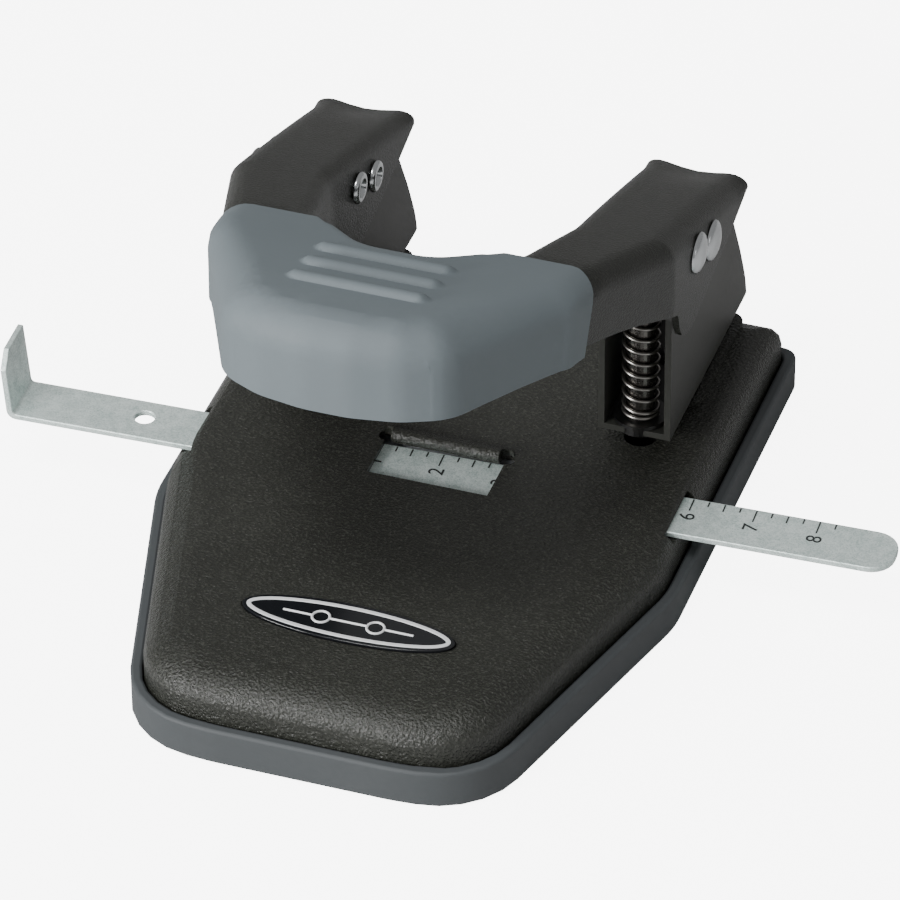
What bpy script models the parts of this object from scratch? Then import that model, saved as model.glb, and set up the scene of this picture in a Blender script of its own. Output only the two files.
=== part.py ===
"""Two-hole desk punch: chip tray, pressed cover, two punch heads, a forked lever and a sliding edge gauge.

Metres, +Z up, -Y towards the user. The origin is on the underside of the tray, on the mirror plane x = 0.
The lever is modelled raised, as it rests, and the edge gauge part way through its guide.
"""
import bpy
import bmesh
from math import atan2, cos, hypot, pi, radians, sin
from mathutils import Matrix, Vector

MM = 0.001
GAP = 0.3 * MM                      # air left between two pieces that touch on the real object
FAR = 0.3                           # reach of a cutter that has to pass right through

# Plan of the tray: parallel sides at the back, tapered towards a bowed front
TRAY_HALF_WIDTH = 53.6 * MM
TRAY_REAR = 61.6 * MM
TRAY_BEND = -22.4 * MM
TRAY_FRONT_HALF = 35.6 * MM
TRAY_FRONT = -87.2 * MM
TRAY_BOW = 1.3 * MM
TRAY_HEIGHT = 8.0 * MM
TRAY_FLOOR = 1.5 * MM
TRAY_WALL = 2.3 * MM

# Pressed steel cover
SHEET = 1.0 * MM
COVER_TOP = 16.5 * MM
COVER_BOTTOM = TRAY_FLOOR + GAP
COVER_INSET = TRAY_WALL + GAP
COVER_SHOULDER = 5.0 * MM
FRONT_SHOULDER = 1.8                # how much broader the shoulder is along the front and tapers
WINDOW_HALF = 12.4 * MM
WINDOW_REAR = -2.5 * MM
WINDOW_FRONT = -14.1 * MM
WINDOW_LIP = 1.5 * MM
BADGE_CENTRE = (0.0, -60.1 * MM)
BADGE_HALF = (21.4 * MM, 5.6 * MM)
BADGE_RECESS = 0.5 * MM

# Punch heads: one each side of the middle, on the hole spacing
HOLE_SPACING = 70.0 * MM
HEAD_X = HOLE_SPACING / 2
PIN_Y = 13.4 * MM
PIN_RADIUS = 3.0 * MM
BUSH_RADIUS = 4.5 * MM
FRAME_WIDTH = 14.8 * MM
FRAME_SHEET = 1.3 * MM
FRAME_BOTTOM = 20.2 * MM
FRAME_FRONT = 9.0 * MM
FRAME_REAR = 60.8 * MM
STOP_FRONT = 25.5 * MM              # the paper's edge stops here, 12 mm behind the holes
PAD_TOP = COVER_TOP + 1.2 * MM
RIVET_ROWS = (34.0 * MM, 50.0 * MM)

# Lever: pivot and drive axes run along X
PIVOT = Vector((0.0, 25.7 * MM, 57.8 * MM))
DRIVE = Vector((0.0, 16.3 * MM, 61.3 * MM))
LEVER_SHEET = 1.3 * MM
ARM_OUTER = 45.1 * MM
ARM_INNER = 24.4 * MM
RIVET_SHANK = 2.0 * MM
PIN_TIP = 19.6 * MM

# Edge gauge
GAUGE_TOP = 15.3 * MM
GAUGE_SHEET = 1.2 * MM
GAUGE_WIDTH = 11.6 * MM
GAUGE_CENTRE = -8.45 * MM
GAUGE_YAW = radians(2.0)            # it lies a little askew in its guide
GAUGE_LEFT = -87.0 * MM
GAUGE_RIGHT = 92.7 * MM
GAUGE_TAB = 13.6 * MM

PLANES = {
    "XY": Matrix.Identity(4),
    "YZ": Matrix(((0, 0, 1, 0), (1, 0, 0, 0), (0, 1, 0, 0), (0, 0, 0, 1))),
    "XZ": Matrix(((1, 0, 0, 0), (0, 0, -1, 0), (0, 1, 0, 0), (0, 0, 0, 1))),
}
ALONG_X = Matrix(((0, 0, 1, 0), (0, 1, 0, 0), (-1, 0, 0, 0), (0, 0, 0, 1)))


# ---------------------------------------------------------------- scene and materials

def clear_scene():
    for obj in list(bpy.data.objects):
        bpy.data.objects.remove(obj, do_unlink=True)


def new_collection(name):
    collection = bpy.data.collections.new(name)
    bpy.context.scene.collection.children.link(collection)
    return collection


def finish_piece(obj, name, colour, roughness, metallic):
    """Names a piece, puts it with the parts and gives it a material of its own."""
    obj.name = name
    obj.data.name = name
    material = bpy.data.materials.new(name)
    material.use_nodes = True
    shader = material.node_tree.nodes["Principled BSDF"]
    shader.inputs["Base Color"].default_value = (*colour, 1.0)
    shader.inputs["Roughness"].default_value = roughness
    shader.inputs["Metallic"].default_value = metallic
    obj.data.materials.clear()
    obj.data.materials.append(material)
    return obj


def black_paint(obj, name):
    return finish_piece(obj, name, (0.030, 0.031, 0.029), 0.42, 0.0)


def bright_steel(obj, name):
    return finish_piece(obj, name, (0.60, 0.62, 0.63), 0.28, 1.0)


def dark_steel(obj, name):
    return finish_piece(obj, name, (0.22, 0.22, 0.23), 0.40, 1.0)


def make_cutter(obj):
    """Moves a mesh among the cutters, out of the finished part."""
    for collection in list(obj.users_collection):
        collection.objects.unlink(obj)
    CUTTERS.objects.link(obj)
    obj.hide_render = True
    obj.display_type = "WIRE"
    return obj


# ---------------------------------------------------------------- outlines

def rounded(corners, steps=5):
    """Outline through (x, y, radius) corners, each turned as an arc of that radius."""
    points = []
    count = len(corners)
    for index, (x, y, radius) in enumerate(corners):
        if radius <= 0:
            points.append((x, y))
            continue
        corner = Vector((x, y))
        before = (Vector(corners[index - 1][:2]) - corner).normalized()
        after = (Vector(corners[(index + 1) % count][:2]) - corner).normalized()
        half = before.angle(after) / 2
        centre = corner + (before + after).normalized() * (radius / sin(half))
        reach = radius * cos(half) / sin(half)
        first = corner + before * reach - centre
        last = corner + after * reach - centre
        start = atan2(first.y, first.x)
        sweep = (atan2(last.y, last.x) - start + pi) % (2 * pi) - pi
        for step in range(steps + 1):
            angle = start + sweep * step / steps
            points.append((centre.x + radius * cos(angle), centre.y + radius * sin(angle)))
    return points


def mirrored(half):
    """Whole outline from the (x, y, radius) corners of its right half, both ends short of x = 0."""
    return half + [(-x, y, radius) for x, y, radius in reversed(half)]


def ellipse(centre, half, steps=40):
    return [(centre[0] + half[0] * cos(2 * pi * step / steps),
             centre[1] + half[1] * sin(2 * pi * step / steps)) for step in range(steps)]


def circle(centre, radius, steps=24):
    return ellipse(centre, (radius, radius), steps)


def tray_outline(inset, front_inset=None):
    """Plan of the tray, or of what nests in it: back and sides moved in by inset, tapers and front too
    unless they have an inset of their own."""
    deep = inset if front_inset is None else front_inset
    slope = (TRAY_HALF_WIDTH - TRAY_FRONT_HALF) / (TRAY_BEND - TRAY_FRONT)
    slant = hypot(1, slope)
    side = TRAY_HALF_WIDTH - inset
    bend = TRAY_BEND + (deep * slant - inset) / slope
    front = TRAY_FRONT + deep
    front_half = TRAY_HALF_WIDTH - deep * slant - (TRAY_BEND - front) * slope
    return rounded(mirrored([
        (front_half * 0.5, front - TRAY_BOW, 60 * MM),
        (front_half, front, 18 * MM - deep),
        (side, bend, 25 * MM),
        (side, TRAY_REAR - inset, max(3.2 * MM - inset * 0.5, 0.6 * MM)),
    ]), 5)


# ---------------------------------------------------------------- solids

def to_mesh(obj):
    """Turns a curve object into a mesh object with its place in the mesh and its caps welded."""
    bpy.context.scene.collection.objects.link(obj)
    depsgraph = bpy.context.evaluated_depsgraph_get()
    mesh = bpy.data.meshes.new_from_object(obj.evaluated_get(depsgraph))
    mesh.transform(obj.matrix_world)
    bm = bmesh.new()
    bm.from_mesh(mesh)
    bmesh.ops.remove_doubles(bm, verts=bm.verts, dist=0.00001)
    bmesh.ops.recalc_face_normals(bm, faces=bm.faces)
    bm.to_mesh(mesh)
    bm.free()
    solid = bpy.data.objects.new(obj.name, mesh)
    bpy.data.objects.remove(obj, do_unlink=True)
    PARTS.objects.link(solid)
    return solid


def prism(outlines, low, high, plane="XY"):
    """Straight solid between two levels across a plane; outlines after the first are holes."""
    curve = bpy.data.curves.new("outline", "CURVE")
    curve.dimensions = "2D"
    curve.fill_mode = "BOTH"
    curve.extrude = (high - low) / 2
    for outline in outlines:
        spline = curve.splines.new("POLY")
        spline.points.add(len(outline) - 1)
        for point, (u, v) in zip(spline.points, outline):
            point.co = (u, v, 0.0, 1.0)
        spline.use_cyclic_u = True
    obj = bpy.data.objects.new("prism", curve)
    level = (high + low) / 2 if plane != "XZ" else -(high + low) / 2
    obj.matrix_world = PLANES[plane] @ Matrix.Translation((0, 0, level))
    return to_mesh(obj)


def block(low, high, radius=0.0, segments=2):
    """Box between two corners, its upright edges rounded where a radius is given."""
    if radius > 0:
        corners = [(low[0], low[1], radius), (high[0], low[1], radius),
                   (high[0], high[1], radius), (low[0], high[1], radius)]
        return prism([rounded(corners, segments)], low[2], high[2])
    bm = bmesh.new()
    bmesh.ops.create_cube(bm, size=1.0)
    size = Vector(high) - Vector(low)
    bmesh.ops.scale(bm, vec=size, verts=bm.verts)
    bmesh.ops.translate(bm, vec=(Vector(high) + Vector(low)) / 2, verts=bm.verts)
    mesh = bpy.data.meshes.new("block")
    bm.to_mesh(mesh)
    bm.free()
    obj = bpy.data.objects.new("block", mesh)
    PARTS.objects.link(obj)
    return obj


def rod(axis, centre, radius, low, high, sides=32):
    """Cylinder along X or Z through a centre, between two levels on its axis."""
    bm = bmesh.new()
    bmesh.ops.create_cone(bm, cap_ends=True, segments=sides, radius1=radius, radius2=radius,
                          depth=high - low)
    middle = Vector(centre)
    middle["XYZ".index(axis)] = (low + high) / 2
    turn = Matrix.Rotation(pi / 2, 4, "Y") if axis == "X" else Matrix.Identity(4)
    bmesh.ops.transform(bm, matrix=Matrix.Translation(middle) @ turn, verts=bm.verts)
    mesh = bpy.data.meshes.new("rod")
    bm.to_mesh(mesh)
    bm.free()
    obj = bpy.data.objects.new("rod", mesh)
    PARTS.objects.link(obj)
    return obj


def turned(profile, place, steps=28, closed=False):
    """Solid of revolution about its own Z axis from (radius, height) points, top to bottom outside."""
    mesh = bpy.data.meshes.new("turned")
    edges = [(i, i + 1) for i in range(len(profile) - 1)]
    if closed:
        edges.append((len(profile) - 1, 0))
    mesh.from_pydata([(radius, 0.0, height) for radius, height in profile], edges, [])
    obj = bpy.data.objects.new("turned", mesh)
    PARTS.objects.link(obj)
    screw = obj.modifiers.new("Screw", "SCREW")
    screw.steps = steps
    screw.render_steps = steps
    screw.use_merge_vertices = True
    screw.merge_threshold = 0.00001
    obj.matrix_world = place
    return obj


def combine(target, other, operation):
    modifier = target.modifiers.new(operation.title(), "BOOLEAN")
    modifier.operation = operation
    modifier.solver = "EXACT"
    modifier.object = make_cutter(other)
    return target


def smooth(obj, angle=35.0):
    obj.data.shade_smooth()
    obj.data.set_sharp_from_angle(angle=radians(angle))
    return obj


def copy_across(obj, name):
    """Mirror image of a finished piece on the other side of x = 0, as an object of its own."""
    depsgraph = bpy.context.evaluated_depsgraph_get()
    mesh = bpy.data.meshes.new_from_object(obj.evaluated_get(depsgraph))
    mesh.transform(Matrix.Scale(-1, 4, (1, 0, 0)) @ obj.matrix_world)
    mesh.flip_normals()
    twin = bpy.data.objects.new(name, mesh)
    PARTS.objects.link(twin)
    twin.data.materials.clear()
    twin.data.materials.append(obj.data.materials[0].copy())
    twin.data.materials[0].name = name
    twin.data.name = name
    return twin


# ---------------------------------------------------------------- base

def make_tray():
    tray = prism([tray_outline(0.0)], 0.0, TRAY_HEIGHT)
    combine(tray, prism([tray_outline(TRAY_WALL)], TRAY_FLOOR, TRAY_HEIGHT + FAR), "DIFFERENCE")
    return finish_piece(tray, "chip_tray", (0.085, 0.092, 0.095), 0.62, 0.0)


def pan(inset, top, shoulder, bottom, steps=4):
    """Closed solid of the cover's outline with a rounded shoulder, broader at the front and tapers."""
    bm = bmesh.new()
    levels = [(inset, inset, bottom)]
    for step in range(steps + 1):
        turn = pi / 2 * step / steps
        inward = 1 - cos(turn)
        levels.append((inset + shoulder * inward, inset + shoulder * FRONT_SHOULDER * inward,
                       top - shoulder * (1 - sin(turn))))
    rings = []
    for side_inset, front_inset, height in levels:
        verts = [bm.verts.new((x, y, height)) for x, y in tray_outline(side_inset, front_inset)]
        rings.append([bm.edges.new((verts[i - 1], verts[i])) for i in range(len(verts))])
    for lower, upper in zip(rings, rings[1:]):
        bmesh.ops.bridge_loops(bm, edges=lower + upper)
    for ring in (rings[0], rings[-1]):
        bmesh.ops.contextual_create(bm, geom=ring)
    bmesh.ops.recalc_face_normals(bm, faces=bm.faces)
    mesh = bpy.data.meshes.new("pan")
    bm.to_mesh(mesh)
    bm.free()
    solid = bpy.data.objects.new("pan", mesh)
    PARTS.objects.link(solid)
    return solid


def make_cover():
    """Pressed shell with a rounded shoulder, pierced for the pins, rivets, gauge and window."""
    cover = pan(COVER_INSET, COVER_TOP, COVER_SHOULDER, COVER_BOTTOM)
    inside = pan(COVER_INSET + SHEET, COVER_TOP - SHEET, COVER_SHOULDER - SHEET, COVER_BOTTOM - 10 * MM)
    combine(cover, inside, "DIFFERENCE")

    for side in (-1, 1):
        low = (side * HEAD_X - 8.6 * MM, STOP_FRONT, COVER_TOP - 0.8 * SHEET)
        high = (side * HEAD_X + 8.6 * MM, 57.0 * MM, PAD_TOP)
        combine(cover, block(low, high, 3 * MM, 4), "UNION")
    lip = rod("X", (0, WINDOW_REAR + WINDOW_LIP * 0.7, COVER_TOP + 0.2 * MM), WINDOW_LIP,
              -WINDOW_HALF - 1 * MM, WINDOW_HALF + 1 * MM, 16)
    combine(cover, lip, "UNION")
    window = block((-WINDOW_HALF, WINDOW_FRONT, COVER_TOP - FAR), (WINDOW_HALF, WINDOW_REAR, COVER_TOP + FAR))
    window.data.transform(Matrix.Translation((0, 0, FAR - 3 * MM)))
    combine(cover, window, "DIFFERENCE")
    badge_pocket = ellipse(BADGE_CENTRE, (BADGE_HALF[0] + GAP, BADGE_HALF[1] + GAP))
    combine(cover, prism([badge_pocket], COVER_TOP - BADGE_RECESS, COVER_TOP + 3 * MM), "DIFFERENCE")
    for side in (-1, 1):
        slot_centre = GAUGE_CENTRE + side * (TRAY_HALF_WIDTH - 4 * MM) * sin(GAUGE_YAW)
        reach = sorted((side * 46 * MM, side * 60 * MM))
        slot = block((reach[0], slot_centre - 7.4 * MM, GAUGE_TOP - GAUGE_SHEET - 0.4 * MM),
                     (reach[1], slot_centre + 7.4 * MM, GAUGE_TOP + 0.35 * MM))
        combine(cover, slot, "DIFFERENCE")
        hole = rod("Z", (side * HEAD_X, PIN_Y, 0), PIN_RADIUS + GAP, COVER_TOP - 4 * MM, COVER_TOP + 4 * MM)
        combine(cover, hole, "DIFFERENCE")
        for row in RIVET_ROWS:
            hole = rod("Z", (side * HEAD_X, row, 0), 1.5 * MM + GAP, COVER_TOP - 4 * MM,
                       COVER_TOP + 4 * MM, 16)
            combine(cover, hole, "DIFFERENCE")
    return black_paint(smooth(cover), "base_cover")


def make_badge():
    level = COVER_TOP - BADGE_RECESS + GAP
    badge = prism([ellipse(BADGE_CENTRE, BADGE_HALF)], level, level + 0.6 * MM)
    return finish_piece(badge, "badge_plate", (0.02, 0.02, 0.022), 0.25, 0.0)


def make_gauge_guide():
    """Shallow channel below the cover that carries the gauge from underneath."""
    floor = GAUGE_TOP - GAUGE_SHEET - GAP
    low, high = GAUGE_CENTRE - 9.2 * MM, GAUGE_CENTRE + 9.2 * MM
    wall_top = COVER_TOP - SHEET - GAP
    section = [(low, floor - SHEET), (high, floor - SHEET), (high, wall_top), (high - SHEET, wall_top),
               (high - SHEET, floor), (low + SHEET, floor), (low + SHEET, wall_top), (low, wall_top)]
    guide = prism([section], -32 * MM, 32 * MM, "YZ")
    return finish_piece(guide, "gauge_guide", (0.35, 0.36, 0.37), 0.45, 1.0)


def make_gauge():
    """Flat strip with a rounded end, a hanging hole and an end bent up as a paper stop."""
    top = GAUGE_TOP
    bottom = top - GAUGE_SHEET
    lean = 1.2 * MM
    tab_top = top + GAUGE_TAB
    side_view = rounded([
        (GAUGE_RIGHT, bottom, 0), (GAUGE_RIGHT, top, 0),
        (GAUGE_LEFT + GAUGE_SHEET, top, 0.8 * MM), (GAUGE_LEFT + GAUGE_SHEET - lean, tab_top, 0),
        (GAUGE_LEFT - lean, tab_top, 0), (GAUGE_LEFT, bottom, 1.9 * MM)], 4)
    gauge = prism([side_view], -GAUGE_WIDTH / 2, GAUGE_WIDTH / 2, "XZ")
    half = GAUGE_WIDTH / 2
    plan = rounded([(GAUGE_LEFT - 5 * MM, -half - 1 * MM, 0), (GAUGE_RIGHT - 6 * MM, -half - 1 * MM, 0),
                    (GAUGE_RIGHT - 6 * MM, -half, 0), (GAUGE_RIGHT, -half, 4.9 * MM),
                    (GAUGE_RIGHT, half, 4.9 * MM), (GAUGE_RIGHT - 6 * MM, half, 0),
                    (GAUGE_RIGHT - 6 * MM, half + 1 * MM, 0), (GAUGE_LEFT - 5 * MM, half + 1 * MM, 0)], 6)
    combine(gauge, prism([plan], 0.0, 0.1), "INTERSECT")
    hang_hole = rod("Z", (-60.4 * MM, 0.7 * MM, 0), 2.05 * MM, bottom - 1 * MM, top + 1 * MM, 20)
    combine(gauge, hang_hole, "DIFFERENCE")
    chamfer = 3.2 * MM
    corner = [(-half - 1 * MM, tab_top + 1 * MM), (-half - 1 * MM, tab_top - chamfer - 1 * MM),
              (-half + chamfer + 1 * MM, tab_top + 1 * MM)]
    combine(gauge, prism([corner], GAUGE_LEFT - 5 * MM, GAUGE_LEFT + 5 * MM, "YZ"), "DIFFERENCE")
    finish_piece(gauge, "edge_gauge", (0.62, 0.66, 0.68), 0.34, 1.0)
    gauge.matrix_world = Matrix.Translation((0, GAUGE_CENTRE, 0)) @ Matrix.Rotation(GAUGE_YAW, 4, "Z")
    for cutter in (modifier.object for modifier in gauge.modifiers):
        cutter.matrix_world = gauge.matrix_world
    return gauge


# ---------------------------------------------------------------- punch heads (right side)

def frame_side_outline():
    """Side plate of the head seen from +X: upright front, ear round the pivot, bellied rear edge."""
    shelf = 50.6 * MM
    ear = rounded([
        (FRAME_FRONT, FRAME_BOTTOM, 0), (FRAME_REAR, FRAME_BOTTOM, 0.8 * MM),
        (60.2 * MM, 24.0 * MM, 30 * MM), (55.6 * MM, 34.5 * MM, 60 * MM), (50.4 * MM, 44.6 * MM, 1.5 * MM),
        (41.0 * MM, 47.5 * MM, 8 * MM), (31.0 * MM, 62.6 * MM, 5 * MM), (20.6 * MM, 62.9 * MM, 3 * MM),
        (20.2 * MM, shelf, 2 * MM), (FRAME_FRONT, shelf, 1.5 * MM)], 4)
    return ear


def make_frame():
    """Channel bent from one sheet: two side plates joined by a web along the bottom."""
    inner_low = HEAD_X - FRAME_WIDTH / 2 + FRAME_SHEET
    inner_high = HEAD_X + FRAME_WIDTH / 2 - FRAME_SHEET
    frame = prism([frame_side_outline()], HEAD_X - FRAME_WIDTH / 2, HEAD_X + FRAME_WIDTH / 2, "YZ")
    hollow = block((inner_low, -FAR, FRAME_BOTTOM + FRAME_SHEET), (inner_high, FAR, FAR))
    combine(frame, hollow, "DIFFERENCE")
    combine(frame, rod("X", PIVOT, RIVET_SHANK + GAP, 0, 0.1, 24), "DIFFERENCE")
    bush_hole = rod("Z", (HEAD_X, PIN_Y, 0), BUSH_RADIUS + GAP, FRAME_BOTTOM - 1 * MM, FRAME_BOTTOM + 3 * MM)
    combine(frame, bush_hole, "DIFFERENCE")
    for row in RIVET_ROWS:
        hole = rod("Z", (HEAD_X, row, 0), 1.5 * MM + GAP, FRAME_BOTTOM - 1 * MM, FRAME_BOTTOM + 3 * MM, 16)
        combine(frame, hole, "DIFFERENCE")
    return black_paint(frame, "right_frame")


def make_guide_bush():
    """Flanged bush pressed into the web; it guides the pin and seats the spring."""
    bore = PIN_RADIUS + 0.1 * MM
    top = FRAME_BOTTOM + FRAME_SHEET + GAP
    profile = [(bore, top + 0.8 * MM), (5.4 * MM, top + 0.8 * MM), (5.4 * MM, top), (BUSH_RADIUS, top),
               (BUSH_RADIUS, FRAME_BOTTOM - 0.6 * MM), (bore, FRAME_BOTTOM - 0.6 * MM)]
    bush = turned(profile, Matrix.Translation((HEAD_X, PIN_Y, 0)), 28, closed=True)
    return dark_steel(smooth(bush), "right_guide_bush")


def make_stop_block():
    """Spacer between cover and frame; its front face stops the paper."""
    holes = [circle((HEAD_X, row), 1.5 * MM + GAP, 16) for row in RIVET_ROWS]
    plan = rounded([(HEAD_X - 6.6 * MM, STOP_FRONT, 1 * MM), (HEAD_X + 6.6 * MM, STOP_FRONT, 1 * MM),
                    (HEAD_X + 6.6 * MM, 56 * MM, 2 * MM), (HEAD_X - 6.6 * MM, 56 * MM, 2 * MM)], 3)
    spacer = prism([plan] + holes, PAD_TOP + GAP, FRAME_BOTTOM - GAP)
    return dark_steel(spacer, "right_stop_block")


def make_die():
    """Hardened plate below the cover, bored to match the pin."""
    top = COVER_TOP - SHEET - GAP
    plan = rounded([(HEAD_X - 9 * MM, 3.5 * MM, 2 * MM), (HEAD_X + 9 * MM, 3.5 * MM, 2 * MM),
                    (HEAD_X + 9 * MM, 24 * MM, 2 * MM), (HEAD_X - 9 * MM, 24 * MM, 2 * MM)], 3)
    die = prism([plan, circle((HEAD_X, PIN_Y), PIN_RADIUS + 0.08 * MM, 32)], top - 2 * MM, top)
    return dark_steel(die, "right_die_plate")


def make_frame_rivet(row, name):
    """Solid rivet that holds frame, spacer and cover together."""
    top = FRAME_BOTTOM + FRAME_SHEET + GAP
    under = COVER_TOP - SHEET - GAP
    profile = [(0, top + 1.2 * MM), (1.6 * MM, top + 1.0 * MM), (2.8 * MM, top + 0.3 * MM), (2.8 * MM, top),
               (1.5 * MM, top), (1.5 * MM, under), (2.4 * MM, under), (2.4 * MM, under - 0.8 * MM),
               (0, under - 0.8 * MM)]
    rivet = turned(profile, Matrix.Translation((HEAD_X, row, 0)), 20)
    return bright_steel(smooth(rivet), name)


def make_spring():
    """Return spring wound round the pin, its end turns closed up."""
    wire = 0.36 * MM
    radius = PIN_RADIUS + 0.14 * MM + wire
    low = FRAME_BOTTOM + FRAME_SHEET + GAP + 0.8 * MM + GAP + wire
    high = 49.5 * MM
    turns, per_turn, closed_turn = 8.6, 11, 0.9
    total = round(turns * per_turn)
    lead_end = 1.15 * 2 * wire
    lead = (high - low - 2 * closed_turn * lead_end) / (turns - 2 * closed_turn)
    curve = bpy.data.curves.new("spring", "CURVE")
    curve.dimensions = "3D"
    curve.bevel_depth = wire
    curve.bevel_resolution = 2
    curve.use_fill_caps = True
    spline = curve.splines.new("POLY")
    spline.points.add(total)
    height = low
    for step, point in enumerate(spline.points):
        turn = step / per_turn
        angle = 2 * pi * turn
        point.co = (HEAD_X + radius * cos(angle), PIN_Y + radius * sin(angle), height, 1.0)
        in_end = turn < closed_turn or turn > turns - closed_turn
        height += (lead_end if in_end else lead) / per_turn
    spring = to_mesh(bpy.data.objects.new("spring", curve))
    return bright_steel(smooth(spring, 60), "right_return_spring")


# ---------------------------------------------------------------- what moves in a punch head

def make_pin():
    """Punch pin: round shank with a flat head, slotted for the drive rivet."""
    shank = turned([(0, 54 * MM), (PIN_RADIUS, 54 * MM), (PIN_RADIUS, PIN_TIP), (0, PIN_TIP + 0.4 * MM)],
                   Matrix.Translation((HEAD_X, PIN_Y, 0)), 28)
    low, high = PIN_Y - 3.4 * MM, DRIVE.y + 3.7 * MM
    slot_low, slot_high = DRIVE.y - 3.0 * MM, DRIVE.y + 2.35 * MM
    reach = RIVET_SHANK + 0.2 * MM
    head = rounded([(low, 52 * MM, 1 * MM), (high, 54 * MM, 1 * MM), (high, DRIVE.z + 3.8 * MM, 2.4 * MM),
                    (low, DRIVE.z + 3.8 * MM, 2.4 * MM)], 3)
    slot = rounded([(slot_low, DRIVE.z - reach, 2 * MM), (slot_high, DRIVE.z - reach, 2 * MM),
                    (slot_high, DRIVE.z + reach, 2 * MM), (slot_low, DRIVE.z + reach, 2 * MM)], 5)
    combine(shank, prism([head, slot], HEAD_X - 3 * MM, HEAD_X + 3 * MM, "YZ"), "UNION")
    return bright_steel(smooth(shank), "right_punch_pin")


def make_spring_collar():
    """Ring on the pin that the top of the spring pushes against."""
    bore = PIN_RADIUS + GAP
    low, high = 50.2 * MM, 51.5 * MM
    profile = [(bore, high), (5.2 * MM, high), (5.2 * MM, low), (bore, low)]
    collar = turned(profile, Matrix.Translation((HEAD_X, PIN_Y, 0)), 28, closed=True)
    return dark_steel(smooth(collar), "right_spring_collar")


# ---------------------------------------------------------------- lever

def lever_top(y):
    """Height of the lever's upper surface: it climbs towards the user on a shallow curve."""
    return 74.2 * MM - 0.322 * y - 0.55 * y * y


def lever_plan(inset, rear):
    """Forked plan of the lever: two arms joined across the front; inset moves every edge in."""
    return rounded(mirrored([
        (9.0 * MM, -31.6 * MM - inset, 10 * MM),
        (20.0 * MM + inset * 0.8, -21.5 * MM - inset * 0.6, 14 * MM),
        (ARM_INNER + inset, 2.0 * MM, 30 * MM),
        (ARM_INNER + inset, rear, 0),
        (ARM_OUTER - inset, rear, 0),
        (ARM_OUTER - inset, 1.5 * MM, 7 * MM),
        (36.2 * MM - inset, -30.0 * MM, 20 * MM),
        (20.7 * MM - inset, -63.6 * MM + inset, 5 * MM),
        (10.0 * MM, -68.4 * MM + inset, 14 * MM),
    ]), 4)


def lever_side(lower, grow=0.0):
    """Side view of the lever: curved top (dropped under the grip), lobed flange, straight front."""
    step_rear, step_front, step = -21.0 * MM, -24.0 * MM, 1.5 * MM
    stations = [50.6, 42.0, 32.0, 22.0, 12.0, 2.0, -8.0, -21.0, -24.0, -33.0, -42.0, -52.0, -62.0, -72.0]
    top = []
    for station in stations:
        y = station * MM
        drop = step * min(max((step_rear - y) / (step_rear - step_front), 0.0), 1.0)
        top.append((y, lever_top(y) - drop - lower + grow, 0))
    if lower > 0:
        return rounded([(80 * MM, lever_top(50.6 * MM) - lower - 8 * MM, 0)] + top
                       + [(-100 * MM, lever_top(-72 * MM) - 1.5 * MM - lower, 0), (-100 * MM, 0, 0), (80 * MM, 0, 0)])
    under = [(-72.0, 74.6, 0), (-58.0, 73.2, 0), (-31.0, 68.6, 10), (-12.0, 62.3, 20), (3.9, 55.0, 0.5),
             (6.4, 48.6, 8), (12.8, 45.2, 3), (40.7, 51.1, 1.5), (50.2, 55.2, 1.2)]
    return rounded(top + [(y * MM, z * MM, radius * MM) for y, z, radius in under], 3)


def make_lever():
    """Stamped fork: the side view is extruded, cut to plan and hollowed from below."""
    lever = prism([lever_side(0.0)], -50 * MM, 50 * MM, "YZ")
    combine(lever, prism([lever_plan(0.0, 60 * MM)], 0.03, 0.12), "INTERSECT")
    hollow = prism([lever_side(LEVER_SHEET)], -50 * MM, 50 * MM, "YZ")
    combine(hollow, prism([lever_plan(LEVER_SHEET, 70 * MM)], -0.05, 0.12), "INTERSECT")
    combine(lever, hollow, "DIFFERENCE")
    for axis in (PIVOT, DRIVE):
        combine(lever, rod("X", axis, RIVET_SHANK + 0.15 * MM, -0.06, 0.06, 24), "DIFFERENCE")
    return black_paint(lever, "lever_plate")


def grip_plan():
    return rounded(mirrored([
        (7.0 * MM, -29.9 * MM, 10 * MM), (17.5 * MM, -20.5 * MM, 8 * MM), (22.0 * MM, -15.0 * MM, 0),
        (42.0 * MM, -15.0 * MM, 0), (37.8 * MM, -31.0 * MM, 25 * MM), (22.3 * MM, -65.4 * MM, 6 * MM),
        (11.5 * MM, -70.4 * MM, 16 * MM)]), 5)


def make_grip():
    """Soft sleeve over the front of the lever, open below and at the back."""
    skin = 0.4 * MM
    stations = [-21.5, -26.0, -32.0, -40.0, -48.0, -56.0, -64.0, -75.0]
    top = [(y * MM, lever_top(y * MM) + skin, 0) for y in stations]
    under = [(-75.0, 74.4, 0), (-71.0, 74.2, 0), (-58.0, 72.4, 0), (-31.6, 67.0, 0)]
    side_view = rounded(top + [(y * MM, z * MM, radius) for y, z, radius in under])
    grip = prism([side_view], -50 * MM, 50 * MM, "YZ")
    combine(grip, prism([grip_plan()], 0.05, 0.12), "INTERSECT")
    room = prism([lever_side(0.0, GAP)], -50 * MM, 50 * MM, "YZ")
    combine(room, prism([lever_plan(-GAP, 60 * MM)], 0.03, 0.12), "INTERSECT")
    deep = prism([lever_side(LEVER_SHEET)], -50 * MM, 50 * MM, "YZ")
    combine(deep, prism([lever_plan(-GAP, 70 * MM)], -0.05, 0.12), "INTERSECT")
    combine(grip, room, "DIFFERENCE")
    combine(grip, deep, "DIFFERENCE")
    return finish_piece(grip, "lever_grip", (0.17, 0.19, 0.205), 0.55, 0.0)


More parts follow.
